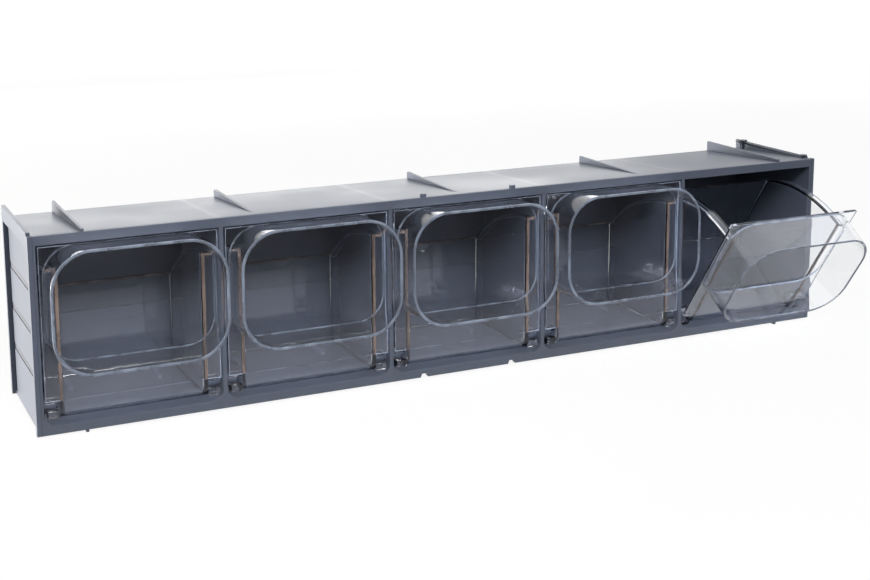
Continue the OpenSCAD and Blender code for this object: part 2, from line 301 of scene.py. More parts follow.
@dataclass(frozen=True)
class MouldedPlastic:
    """Blue-grey polypropylene with a fine grain, faint flow marks and a little dust, and painted
    shade in its grooves and deep in the bays.
    """

    name: str
    colour: tuple[float, float, float] = (0.103, 0.122, 0.168)
    pale: tuple[float, float, float] = (0.130, 0.150, 0.200)
    roughness: float = 0.34
    ior: float = 1.52
    sheen: float = 0.12
    sheen_roughness: float = 0.35
    groove_x: float = 296.9 * MM
    groove_ramp: tuple[float, float] = (0.15 * MM, 0.3 * MM)
    # Painted shade on the grooves' floors
    groove_shade_colour: tuple[float, float, float] = (0.04, 0.045, 0.06)
    cloudy: float = 0.45
    streaky: float = 0.2
    dusty: float = 0.35
    grain: float = 2400.0
    grain_depth: float = 0.04 * MM
    sink_w: float = 4 * MM
    sink_depth: float = 0.12 * MM
    wave_depth: float = 1.2 * MM
    # Painted shade deep in the bays: how far the occlusion looks, and the colour it darkens to
    painted_shade_reach: float = 100 * MM
    painted_shade_colour: tuple[float, float, float] = (0.02, 0.023, 0.034)

    def make(self) -> bpy.types.Material:
        """Build the material.

        Returns:
            The material.
        """
        sheet = Sheet(bpy.data.materials.new(self.name))
        clouds = sheet.noise(11, 3, 0.55, seed=1.0)
        flow = sheet.noise(60, 3, 0.5, stretch=(1, 0.12, 0.3), seed=2.0)
        specks = sheet.span(sheet.noise(900, 2, 0.6, seed=3.0), 0.69, 0.76)
        mask = (sheet.span(clouds, 0.35, 0.68) * self.cloudy
                + sheet.span(flow, 0.4, 0.7) * self.streaky + specks * self.dusty).held()
        colour = sheet.tint(mask, (*self.colour, 1), (*self.pale, 1))
        # Shallow sink marks where the dividers stand behind the skin
        across = sheet.maths("PINGPONG", sheet.axis("X"), BAY_PITCH / 2)
        sink = sheet.span(across, BAY_PITCH / 2 - self.sink_w, BAY_PITCH / 2)
        low = sheet.bump(sheet.noise(14, 1, 0.4, seed=5.0), self.wave_depth, 0.5)
        dip = sheet.bump(1 - sink, self.sink_depth, 0.6, under=low)
        grain = sheet.noise(self.grain, 2, 0.6, seed=4.0)
        fine = sheet.bump(grain, self.grain_depth, 0.55, under=dip)
        # The floors of the grooves in the ends are dull, and painted shade darkens their colour as
        # if they were deeper
        away = abs(abs(sheet.axis("X")) - self.groove_x)
        groove = 1 - sheet.span(away, *self.groove_ramp)
        colour = sheet.tint(groove * 0.55, colour, (*self.groove_shade_colour, 1))
        # Painted shade: the colour darkens where ambient occlusion finds the surface hemmed in,
        # deep in the bays
        inner = sheet.node("ShaderNodeAmbientOcclusion", {"samples": 6, "only_local": True},
                           {"Distance": self.painted_shade_reach})
        shade_free = sheet.span(sheet.value(inner, "AO"), 0.12, 0.85)
        colour = sheet.tint(shade_free, (*self.painted_shade_colour, 1), colour)
        rough = (self.roughness + sheet.span(clouds, 0.3, 0.7) * 0.09 + specks * 0.2 - sink * 0.04
                 + groove * 0.3)
        return sheet.finished(sheet.principled({
            "Base Color": colour, "Roughness": rough, "Normal": fine, "IOR": self.ior,
            "Sheen Weight": self.sheen, "Sheen Roughness": self.sheen_roughness}))


@dataclass(frozen=True)
class ClearPlastic:
    """Clear polystyrene: polished, faintly blue, with flow waves, smudges and fine scratches, and
    on rims and wall ends a pale layer of painted light.
    """

    name: str
    colour: tuple[float, float, float] = (0.955, 0.967, 0.988)
    smudged: tuple[float, float, float] = (0.9, 0.92, 0.95)
    shone_through: tuple[float, float, float] = (0.93, 0.94, 0.96)
    mirror_tint: tuple[float, float, float] = (0.86, 0.88, 1)
    ior: float = 1.57
    roughness: float = 0.012
    wave_depth: float = 0.6 * MM
    scratch_depth: float = 0.01 * MM
    # Painted light on rims and wall ends: how much of the pale layer, how patchy, its colour and
    # roughness
    painted_light: float = 0.0
    painted_light_patches: float = 0.4
    painted_light_colour: tuple[float, float, float] = (0.55, 0.64, 0.82)
    painted_light_roughness: float = 0.3

    def make(self) -> bpy.types.Material:
        """Build the material.

        Returns:
            The material.
        """
        sheet = Sheet(bpy.data.materials.new(self.name))
        smudge = sheet.span(sheet.noise(38, 4, 0.6, seed=6.0), 0.55, 0.8)
        flow = sheet.noise(26, 2, 0.4, stretch=(1, 1, 0.35), seed=7.0)
        hair = sheet.noise(420, 2, 0.5, stretch=(0.05, 1, 1), seed=8.0)
        lines = sheet.span(hair, 0.7, 0.74)
        waves = sheet.bump(flow, self.wave_depth, 0.35)
        fine = sheet.bump(lines, self.scratch_depth, 0.3, under=waves)
        rough = self.roughness + smudge * 0.05 + lines * 0.04
        tone = sheet.tint(smudge * 0.5, (*self.colour, 1), (*self.smudged, 1))
        solid = sheet.principled({
            "Base Color": tone, "Roughness": rough, "Normal": fine, "IOR": self.ior,
            "Specular Tint": (*self.mirror_tint, 1), "Transmission Weight": 1.0})
        if self.painted_light:
            # Painted light: a rim or a wall end gathers light from the whole moulding and looks
            # milky, and a pale, rough layer mixed in here stands for that light
            patchy = sheet.noise(95, 2, 0.5, stretch=(1, 1, 0.4), seed=10.0)
            painted_light_share = sheet.span(patchy, 0.35, 0.7, self.painted_light * (1 - self.painted_light_patches),
                               self.painted_light * (1 + self.painted_light_patches))
            painted_light_layer = sheet.principled({"Base Color": (*self.painted_light_colour, 1),
                                     "Roughness": self.painted_light_roughness, "Normal": waves})
            solid = sheet.mixed(painted_light_share, solid, painted_light_layer)
        # Lamps shine through the thin walls into the bays
        through = sheet.value(sheet.node("ShaderNodeBsdfTransparent", {},
                                         {"Color": (*self.shone_through, 1)}))
        lamp_ray = sheet.value(sheet.node("ShaderNodeLightPath"), "Is Shadow Ray")
        return sheet.finished(sheet.mixed(lamp_ray, solid, through))


# Modelling habits


class Bench:
    """What the sub-assemblies share: picking, cutting, joining and smoothing with operators."""

    @staticmethod
    def pick(*pieces: bpy.types.Object) -> None:
        """Select these pieces alone, with the first one active.

        Args:
            pieces: The pieces.
        """
        if bpy.context.mode != "OBJECT":
            bpy.ops.object.mode_set(mode="OBJECT")
        bpy.ops.object.select_all(action="DESELECT")
        for piece in pieces:
            piece.select_set(True)
        bpy.context.view_layer.objects.active = pieces[0]

    @staticmethod
    def edit(piece: bpy.types.Object, kind: Pick = Pick.FACES,
             choose: Callable[[Any], bool] = lambda part: True) -> int:
        """Open a piece in edit mode with some of it selected.

        Args:
            piece: The piece.
            kind: What is selected.
            choose: Says whether a vertex, edge or face is selected.

        Returns:
            How many are selected.
        """
        Bench.pick(piece)
        bpy.ops.object.mode_set(mode="EDIT")
        bpy.ops.mesh.select_mode(type=kind.value)
        bpy.ops.mesh.select_all(action="DESELECT")
        mesh = bmesh.from_edit_mesh(piece.data)
        parts = {Pick.VERTS: mesh.verts, Pick.EDGES: mesh.edges, Pick.FACES: mesh.faces}[kind]
        chosen = [part for part in parts if choose(part)]
        for part in chosen:
            part.select_set(True)
        mesh.select_flush_mode()
        bmesh.update_edit_mesh(piece.data)
        return len(chosen)

    @staticmethod
    def whole(piece: bpy.types.Object, kind: Pick = Pick.FACES) -> None:
        """Open a piece in edit mode with all of it selected."""
        Bench.edit(piece, kind)
        bpy.ops.mesh.select_all(action="SELECT")

    @staticmethod
    def done() -> None:
        """Leave edit mode."""
        bpy.ops.object.mode_set(mode="OBJECT")

    @staticmethod
    def made(name: str) -> bpy.types.Object:
        """Name the new object and put its place and size into its mesh.

        Args:
            name: The object's name.

        Returns:
            The object.
        """
        piece = bpy.context.view_layer.objects.active
        piece.name = piece.data.name = name
        Bench.pick(piece)
        bpy.ops.object.transform_apply(location=True, rotation=True, scale=True)
        return piece

    @staticmethod
    def block(name: str, low: Vector, high: Vector) -> bpy.types.Object:
        """A box between two corners, as a start for a piece or a cutter.

        Args:
            name: Its name.
            low: Its corner nearest the left, the front and the floor.
            high: The opposite corner.

        Returns:
            The box.
        """
        bpy.ops.object.select_all(action="DESELECT")
        bpy.ops.mesh.primitive_cube_add(size=1, location=(low + high) / 2, scale=high - low)
        return Bench.made(name)

    @staticmethod
    def bisect(piece: bpy.types.Object, point: Vector, normal: Vector,
               cut_off: bool = True) -> None:
        """Cut a piece along a plane.

        Args:
            piece: The piece.
            point: A point of the plane.
            normal: The plane's direction, towards what is cut off.
            cut_off: Whether what lies in front of the plane is cut off or only divided.
        """
        Bench.whole(piece)
        bpy.ops.mesh.bisect(plane_co=point, plane_no=normal, clear_outer=cut_off)
        Bench.done()

    @staticmethod
    def outwards(piece: bpy.types.Object) -> None:
        """Merge doubles and turn all faces outwards.

        Args:
            piece: The piece.
        """
        Bench.whole(piece)
        bpy.ops.mesh.remove_doubles(threshold=WELD)
        bpy.ops.mesh.select_all(action="SELECT")
        bpy.ops.mesh.normals_make_consistent(inside=False)
        Bench.done()

    @staticmethod
    def modify(piece: bpy.types.Object, kind: str, **settings: Any) -> None:
        """Add a modifier and apply it.

        Args:
            piece: The piece.
            kind: The modifier's type.
            settings: The modifier's properties.
        """
        Bench.pick(piece)
        bpy.ops.object.modifier_add(type=kind)
        modifier = piece.modifiers[-1]
        for key, value in settings.items():
            setattr(modifier, key, value)
        bpy.ops.object.modifier_apply(modifier=modifier.name)

    @staticmethod
    def combine(piece: bpy.types.Object, tool: bpy.types.Object, operation: str) -> None:
        """Join a tool to a piece or cut it out of it, and remove the tool.

        Args:
            piece: The piece.
            tool: The other mesh.
            operation: UNION or DIFFERENCE.
        """
        Bench.modify(piece, "BOOLEAN", operation=operation, solver="EXACT", object=tool)
        bpy.data.objects.remove(tool)

    @staticmethod
    def tidy(piece: bpy.types.Object, weld: float = WELD) -> None:
        """Merge doubles and dissolve the lines that a flat face doesn't need.

        Args:
            piece: The piece.
            weld: Points nearer than this are merged.
        """
        Bench.whole(piece)
        bpy.ops.mesh.remove_doubles(threshold=weld)
        bpy.ops.mesh.select_all(action="SELECT")
        bpy.ops.mesh.dissolve_limited(angle_limit=FLAT)
        Bench.done()

    @staticmethod
    def round_off(piece: bpy.types.Object, radius: float, steps: int,
                  choose: Callable[[Any], bool] = lambda edge: True,
                  least: float = 35.0) -> None:
        """Round the sharp edges that a test picks.

        Args:
            piece: The piece.
            radius: The rounding's width.
            steps: How many faces it has.
            choose: Says whether a sharp edge is rounded.
            least: From how many degrees an edge is sharp.
        """
        sharp = math.radians(least)
        if Bench.edit(piece, Pick.EDGES, lambda edge: len(edge.link_faces) == 2
                      and edge.calc_face_angle(0) > sharp and choose(edge)):
            bpy.ops.mesh.bevel(offset=radius, segments=steps, affect="EDGES", clamp_overlap=False)
        Bench.done()

    @staticmethod
    def smooth(piece: bpy.types.Object, angle: float = 35.0) -> None:
        """Shade curved faces smooth, and keep the large flat faces flat.

        Args:
            piece: The piece.
            angle: From how many degrees an edge stays sharp.
        """
        Bench.pick(piece)
        if piece.data.has_custom_normals:
            bpy.ops.mesh.customdata_custom_splitnormals_clear()
        bpy.ops.object.shade_smooth_by_angle(angle=math.radians(angle), keep_sharp_edges=False)
        Bench.modify(piece, "WEIGHTED_NORMAL", mode="FACE_AREA", weight=100, keep_sharp=True)

    @staticmethod
    def copy_node(node: str, name: str) -> bpy.types.Object:
        """A copy of a CAD node's mesh, merged.

        Args:
            node: The CAD node.
            name: The copy's name.

        Returns:
            The copy, which rides on nothing yet.
        """
        mesh = frame["nodes"][node].data.copy()
        mesh.materials.clear()
        piece = bpy.data.objects.new(name, mesh)
        bpy.context.scene.collection.objects.link(piece)
        Bench.tidy(piece)
        return piece

    @staticmethod
    def glaze(piece: bpy.types.Object, which: Glaze,
              choose: Callable[[Any], bool] | None = None) -> None:
        """Give faces of a bin's form one of its finishes.

        Args:
            piece: The form.
            which: The finish.
            choose: Says whether a face gets it, or None for the selected faces.
        """
        if choose is None:
            Bench.pick(piece)
            bpy.ops.object.mode_set(mode="EDIT")
            bpy.ops.mesh.select_mode(type=Pick.FACES.value)
        else:
            Bench.edit(piece, Pick.FACES, choose)
        piece.active_material_index = which.value
        bpy.ops.object.material_slot_assign()
        Bench.done()

    @staticmethod
    def dress(piece: bpy.types.Object, finish: bpy.types.Material) -> None:
        """Give a piece or a CAD node its material.

        Args:
            piece: The piece or node.
            finish: The material.
        """
        if piece.material_slots:
            for place in piece.material_slots:
                place.material = finish
        else:
            piece.data.materials.append(finish)

    @staticmethod
    def report(piece: bpy.types.Object, note: str) -> None:
        """Log a piece with its number of faces."""
        log.info("%s: %s, %d faces", piece.name, note, len(piece.data.polygons))


# Sub-assemblies


@dataclass
class CabinetFrame:
    """The moulded frame: a shell with flush faces, and the ribs and rails that stand on it."""

    front_y: float = -DEPTH
    edge_radius: float = 0.5 * MM
    rear_radius: float = 0.4 * MM
    rear_edge: float = 80 * MM
    rib_radius: float = 0.3 * MM
    rib_sharp: float = 40.0
    weld: float = 0.000003
    shell_nodes: tuple[str, ...] = (
        "top_front_rail", "bottom_front_rail", "roof_panel", "floor_panel", "back_panel",
        "left_side_panel", "right_side_panel", "divider_1", "divider_2", "divider_3", "divider_4",
        "bay_corner_webs")
    rib_nodes: tuple[str, ...] = (
        "left_tall_rib", "right_tall_rib", "low_rib_1", "low_rib_2", "low_rib_3", "left_base_rib",
        "right_base_rib", "left_edge_rail", "right_bead_rail", "front_lugs", "bin_rests",
        "hinge_pins")

    def build_shell(self) -> bpy.types.Object:
        """Join the nodes whose faces lie flush, as in the real moulding, and round the edges.

        Returns:
            The shell.
        """
        others = bpy.data.collections.new("shell_parts")
        bpy.context.scene.collection.children.link(others)
        shell = Bench.copy_node(self.shell_nodes[0], "frame_shell")
        for node in self.shell_nodes[1:]:
            part = Bench.copy_node(node, node + "_copy")
            bpy.context.scene.collection.objects.unlink(part)
            others.objects.link(part)
        Bench.modify(shell, "BOOLEAN", operation="UNION", solver="EXACT",
                     operand_type="COLLECTION", collection=others)
        for part in list(others.objects):
            bpy.data.objects.remove(part)
        bpy.data.collections.remove(others)
        Bench.tidy(shell, self.weld)
        near = self.front_y + NEAR
        Bench.round_off(shell, self.edge_radius, 3,
                        lambda edge: all(v.co.y < near for v in edge.verts))
        Bench.round_off(shell, self.rear_radius, 2,
                        lambda edge: all(v.co.y > -NEAR for v in edge.verts)
                        and edge.calc_length() > self.rear_edge)
        Bench.smooth(shell)
        return shell

    def soften_ribs(self) -> None:
        """Round the edges of the ribs, rails, lugs and pins, which stay the CAD's own pieces."""
        for node in self.rib_nodes:
            piece = frame["nodes"][node]
            weld = piece.modifiers.new("weld", "WELD")
            weld.merge_threshold = WELD
            bevel = piece.modifiers.new("soft_edges", "BEVEL")
            bevel.width = self.rib_radius
            bevel.segments = 2
            bevel.limit_method = "ANGLE"
            bevel.angle_limit = math.radians(self.rib_sharp)

    def build(self, finish: bpy.types.Material) -> None:
        """Build the frame and dress it.

        Args:
            finish: Its material.
        """
        shell = self.build_shell()
        Bench.dress(shell, finish)
        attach(shell, Body.FRAME.value)
        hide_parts(*self.shell_nodes)
        Bench.report(shell, "one moulding with flush faces")
        self.soften_ribs()
        for node in self.rib_nodes:
            Bench.dress(frame["nodes"][node], finish)
        log.info("ribs, rails, lugs and pins: %d CAD pieces", len(self.rib_nodes))


@dataclass
class TiltBin:
    """One clear bin, modelled closed in the first bay and then copied to its own bay.

    Sizes are as drawn: Y from the front face, Z from the foot of that face.
    """

    finishes: tuple[bpy.types.Material, ...]
    origin: Vector = Vector((0, -DEPTH, -64 * MM))
    wall: float = 2.1 * MM
    tub_w: float = 95.48 * MM
    tub_d: float = 83.1 * MM
    tub_front: float = 0.2 * MM
    tub_ledge_z: float = 60 * MM
    floor_z: float = 9 * MM
    side_top_z: float = 106.3 * MM
    side_arc_r: float = 121.13 * MM
    rim_w: float = 4.6 * MM
    rim_t: float = 2.1 * MM
    plate_w: float = 113.48 * MM
    plate_foot_z: float = 21.6 * MM
    plate_top_z: float = 120.9 * MM
    pivot_y: float = 8 * MM
    pivot_z: float = 17 * MM
    hood_d: float = 29 * MM
    hood_h: float = 76 * MM
    hood_inset: float = 1.8 * MM
    hood_wall: float = 2 * MM
    hood_flares: tuple[float, float, float] = (0.6 * MM, 2.6 * MM, 1.1 * MM)
    hood_base_r: float = 20 * MM
    hood_rim_r: float = 26 * MM
    hood_edge_r: float = 0.7 * MM
    hood_root: float = 0.9 * MM
    open_angle: float = 34.5
    mark_r: float = 8 * MM
    mark_y: float = 24 * MM
    mark_h: float = 0.6 * MM
    mark_lip: float = 1.2 * MM
    mark_dip: float = 0.22 * MM
    arc_steps: int = 256
    corner_steps: int = 12
    loop_steps: int = 14
    edge_steps: int = 4
    mark_steps: int = 48
    hollow_r: float = 1.4 * MM
    rim_edge_r: float = 0.3 * MM
    plate_edge_r: float = 0.4 * MM
    clip_edge_r: float = 0.25 * MM
    fine_sharp: float = 50.0

    def _start(self, piece: bpy.types.Object) -> bpy.types.Object:
        """Give a new form the slots of all the finishes, so that joined forms keep theirs.

        Args:
            piece: The form.

        Returns:
            The form.
        """
        for finish in self.finishes:
            piece.data.materials.append(finish)
        return piece

    def _at(self, x: float, y: float, z: float) -> Vector:
        """A drawn point of the bin in the first bay, in the frame of the model."""
        return Vector((x - (BAY_COUNT - 1) / 2 * BAY_PITCH, y, z)) + self.origin

    def _arc(self, x: float, fill: str) -> bpy.types.Object:
        """The whole circle whose top is the arch of a side wall.

        Args:
            x: Where it stands across the bin.
            fill: The circle's fill: NGON or NOTHING.

        Returns:
            The circle.
        """
        bpy.ops.object.select_all(action="DESELECT")
        bpy.ops.mesh.primitive_circle_add(
            vertices=self.arc_steps, radius=self.side_arc_r, fill_type=fill,
            location=self._at(x, 0, self.side_top_z - self.side_arc_r),
            rotation=(0, math.pi / 2, 0))
        return self._start(Bench.made("arc"))

    def _tub(self) -> bpy.types.Object:
        """The tub: an outline with an arched top, drawn across, and a hollow with round corners.

        Returns:
            The tub.
        """
        tub = self._arc(-self.tub_w / 2, "NGON")
        Bench.bisect(tub, self._at(0, self.tub_front, 0), Vector((0, -1, 0)))
        Bench.bisect(tub, self._at(0, self.tub_d, 0), Vector((0, 1, 0)))
        Bench.bisect(tub, self._at(0, 0, self.floor_z), Vector((0, 0, -1)))
        corner = self._at(-self.tub_w / 2, self.tub_front, self.floor_z)
        Bench.edit(tub, Pick.VERTS, lambda v: (v.co - corner).length < 5 * NEAR)
        bpy.ops.mesh.bevel(offset=self.pivot_y * SHY, segments=self.corner_steps,
                           affect="VERTICES", clamp_overlap=False)
        Bench.done()
        Bench.whole(tub)
        bpy.ops.mesh.extrude_region_move(TRANSFORM_OT_translate={"value": (self.tub_w, 0, 0)})
        Bench.done()
        Bench.outwards(tub)

        inner = self.tub_w / 2 - self.wall
        hollow = self._start(Bench.block(
            "hollow", self._at(-inner, self.wall, self.floor_z + self.wall),
            self._at(inner, self.tub_d - self.wall, self.plate_top_z + SPARE)))
        low = self._at(0, self.wall, self.floor_z + self.wall)
        Bench.edit(hollow, Pick.EDGES, lambda e: all(
            abs(v.co.y - low.y) < NEAR and abs(v.co.z - low.z) < NEAR for v in e.verts))
        bpy.ops.mesh.bevel(offset=self.pivot_y - self.wall, segments=self.corner_steps,
                           affect="EDGES", clamp_overlap=False)
        Bench.done()
        # Every corner but those of its open top, which lies above the tub
        middle = self._at(0, 0, (self.floor_z + self.plate_top_z) / 2).z
        Bench.round_off(hollow, self.hollow_r, 3,
                        lambda e: any(v.co.z < middle for v in e.verts))
        Bench.combine(tub, hollow, "DIFFERENCE")
        back = self._at(0, self.tub_d - self.wall, self.tub_ledge_z)
        # The top of the back wall gets the wall ends' painted light
        Bench.glaze(tub, Glaze.WALL_END, lambda f: f.normal.z > UPWARDS
                    and f.calc_center_median().y > back.y and f.calc_center_median().z > back.z)
        return tub

    def _rim(self, side: int) -> bpy.types.Object:
        """The rim along one side's arched top.

        Args:
            side: -1 for the left side and 1 for the right one.

        Returns:
            The rim.
        """
        rim = self._arc(side * self.tub_w / 2 - (self.rim_w if side < 0 else 0), "NOTHING")
        for point, normal in ((self._at(0, self.wall / 2, 0), (0, -1, 0)),
                              (self._at(0, self.tub_d, 0), (0, 1, 0)),
                              (self._at(0, 0, self.pivot_z), (0, 0, -1))):
            Bench.bisect(rim, point, Vector(normal))
        Bench.edit(rim, Pick.EDGES)
        bpy.ops.mesh.extrude_region_move(TRANSFORM_OT_translate={"value": (self.rim_w, 0, 0)})
        Bench.done()
        if rim.data.polygons[0].normal.z < 0:
            Bench.edit(rim)
            bpy.ops.mesh.flip_normals()
            Bench.done()
        Bench.modify(rim, "SOLIDIFY", thickness=self.rim_t, offset=-1)
        Bench.round_off(rim, self.rim_edge_r, 2, least=self.fine_sharp)
        # The rim gets the rims' painted light
        Bench.glaze(rim, Glaze.RIM)
        return rim

    def _loop(self, half: float, y: float, low: float, high: float, radius: float) -> None:
        """Add an upright rectangle with round corners.

        Args:
            half: Half its width.
            y: Its place behind the front face.
            low: Its foot.
            high: Its top.
            radius: Its corners' radius.
        """
        bpy.ops.object.select_all(action="DESELECT")
        bpy.ops.mesh.primitive_plane_add(size=1, location=self._at(0, y, (low + high) / 2),
                                         rotation=(math.pi / 2, 0, 0))
        plane = bpy.context.view_layer.objects.active
        plane.scale = (2 * half, high - low, 1)
        plane = Bench.made("loop")
        Bench.edit(plane, Pick.VERTS)
        bpy.ops.mesh.bevel(offset=radius, segments=self.loop_steps, affect="VERTICES",
                           clamp_overlap=False)
        bpy.ops.mesh.select_all(action="SELECT")
        bpy.ops.mesh.delete(type="ONLY_FACE")
        Bench.done()

    def _station(self, y: float, inset: float) -> bpy.types.Object:
        """One outline of the hood.

        Args:
            y: Its place behind the front face.
            inset: How far inside the hood's outer face it lies.

        Returns:
            The outline.
        """
        side, top, bottom = self.hood_flares
        part = max(0.0, -y / self.hood_d)
        self._loop(self.plate_w / 2 - self.hood_inset + side * part - inset, y,
                   self.plate_top_z - self.hood_h - bottom * part + inset,
                   self.plate_top_z + top * part - inset,
                   self.hood_base_r + (self.hood_rim_r - self.hood_base_r) * part - inset)
        return bpy.context.view_layer.objects.active

    def _hood(self) -> bpy.types.Object:
        """The hood: outlines bridged one after the other round the section of its wall.

        Returns:
            The hood, closed, with its foot inside the plate.
        """
        edge, front, steps = self.hood_edge_r, -self.hood_d + self.hood_edge_r, self.edge_steps
        turns = [math.pi / 2 * k / steps for k in range(steps + 1)]
        stations = [(self.wall / 2, 0.0), (0.0, 0.0), (-self.hood_root, 0.0)]
        stations += [(front - edge * math.sin(a), edge * (1 - math.cos(a))) for a in turns]
        stations += [(front - edge * math.cos(a), self.hood_wall - edge * (1 - math.sin(a)))
                     for a in turns]
        stations += [(y, self.hood_wall) for y in (-self.hood_root, 0.0, self.wall / 2)]
        strips = []
        for near, far in zip(stations, stations[1:] + stations[:1]):
            first, second = self._station(*near), self._station(*far)
            Bench.pick(first, second)
            bpy.ops.object.join()
            Bench.whole(first, Pick.EDGES)
            bpy.ops.mesh.bridge_edge_loops()
            Bench.done()
            strips.append(first)
        Bench.pick(*strips)
        bpy.ops.object.join()
        hood = self._start(Bench.made("hood"))
        Bench.outwards(hood)
        rim_y, root_y = self._at(0, front, 0).y, self._at(0, -self.hood_root, 0).y
        # The hood's rim and root get the rims' painted light
        Bench.glaze(hood, Glaze.RIM,
                    lambda f: not rim_y < f.calc_center_median().y < root_y)
        return hood

    def _plate(self) -> bpy.types.Object:
        """The front plate, with rounded edges and lines of painted light where the tub's walls end
        on it.

        Returns:
            The plate.
        """
        plate = self._start(Bench.block(
            "plate", self._at(-self.plate_w / 2, 0, self.plate_foot_z),
            self._at(self.plate_w / 2, self.wall, self.plate_top_z)))
        outer = self.tub_w / 2
        inner, edge = outer - self.wall, outer + self.rim_w
        cuts = [(self._at(side * x, 0, 0), Vector((1, 0, 0)))
                for x in (inner, outer, edge) for side in (-1, 1)]
        cuts += [(self._at(0, 0, z), Vector((0, 0, 1)))
                 for z in (self.side_top_z - self.rim_t, self.side_top_z)]
        for point, normal in cuts:
            Bench.bisect(plate, point, normal, cut_off=False)
        zero = self._at(0, 0, 0)

        def is_wall_end(face: bmesh.types.BMFace) -> bool:
            """Whether a face of the plate's front lies before a wall or a rim.

            Args:
                face: The face.

            Returns:
                Whether it does.
            """
            x, y, z = face.calc_center_median() - zero
            wall = inner < abs(x) < outer and z < self.side_top_z
            rim = outer < abs(x) < edge and self.side_top_z - self.rim_t < z < self.side_top_z
            return y < NEAR and (wall or rim)

        # The plate's face before each wall and rim gets the wall ends' painted light, and its
        # rounded edges the rims'
        Bench.glaze(plate, Glaze.WALL_END, is_wall_end)
        Bench.round_off(plate, self.plate_edge_r, 2)
        Bench.glaze(plate, Glaze.RIM)
        return plate

    def _gate_mark(self) -> bpy.types.Object:
        """The low round mark that the mould leaves inside the floor.

        Returns:
            The mark.
        """
        bpy.ops.object.select_all(action="DESELECT")
        bpy.ops.mesh.primitive_cylinder_add(
            vertices=self.mark_steps, radius=self.mark_r, depth=self.mark_h,
            location=self._at(0, self.mark_y, self.floor_z + self.wall))
        mark = self._start(Bench.made("mark"))
        top = self._at(0, 0, self.floor_z + self.wall + self.mark_h / 2)
        Bench.edit(mark, Pick.FACES, lambda f: f.calc_center_median().z > top.z - 5 * NEAR)
        bpy.ops.mesh.inset(thickness=self.mark_lip)
        bpy.ops.transform.translate(value=(0, 0, -self.mark_dip))
        Bench.done()
        return mark

    def mould(self) -> bpy.types.Object:
        """Join the bin's forms into one moulding and round its edges.

        Returns:
            The bin in the first bay.
        """
        moulding = self._tub()
        Bench.combine(moulding, self._gate_mark(), "UNION")
        Bench.combine(moulding, self._plate(), "UNION")
        for side in (-1, 1):
            Bench.combine(moulding, self._rim(side), "UNION")
        Bench.combine(moulding, self._hood(), "UNION")
        clips = self._start(Bench.copy_node("bin_1_hinge_clips", "clips"))
        Bench.round_off(clips, self.clip_edge_r, 2, least=self.fine_sharp)
        Bench.combine(moulding, clips, "UNION")
        Bench.outwards(moulding)
        Bench.smooth(moulding)
        moulding.name = moulding.data.name = "bin_1_moulding"
        return moulding

    def build(self) -> None:
        """Build all the bins."""
        first = self.mould()
        bins = [first]
        for number in range(2, BAY_COUNT + 1):
            Bench.pick(first)
            bpy.ops.object.duplicate(linked=False)
            piece = bpy.context.view_layer.objects.active
            step = Matrix.Translation(Vector(((number - 1) * BAY_PITCH, 0, 0)))
            if number == OPEN_BIN:
                pivot = Matrix.Translation(self._at(0, self.pivot_y, self.pivot_z))
                turn = Matrix.Rotation(math.radians(self.open_angle), 4, "X")
                step = step @ pivot @ turn @ pivot.inverted()
            piece.matrix_world = step
            piece = Bench.made(f"bin_{number}_moulding")
            bins.append(piece)
        for number, piece in enumerate(bins, 1):
            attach(piece, f"bin_{number}")
            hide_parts(*(f"bin_{number}_{part}" for part in
                                 ("tub", "front_plate", "hood", "hinge_clips")))
            Bench.report(piece, "one clear moulding")


@dataclass(frozen=True)
class Lamp:
    """A soft area lamp that faces the cabinet."""

    name: str
    place: tuple[float, float, float]
    size: tuple[float, float]
    power: float
    colour: tuple[float, float, float] = (1, 1, 1)
    mirrored: bool = True
    target: tuple[float, float, float] = (0, -0.04, 0)

    def build(self) -> None:
        """Add the lamp to the scene."""
        data = bpy.data.lights.new(self.name, "AREA")
        data.shape = "RECTANGLE"
        data.size, data.size_y = self.size
        data.energy = self.power
        data.color = self.colour
        lamp = bpy.data.objects.new(self.name, data)
        bpy.context.scene.collection.objects.link(lamp)
        lamp.location = self.place
        lamp.visible_camera = False
        lamp.visible_glossy = self.mirrored
        way = Vector(self.target) - Vector(self.place)
        lamp.rotation_euler = way.to_track_quat("-Z", "Y").to_euler()


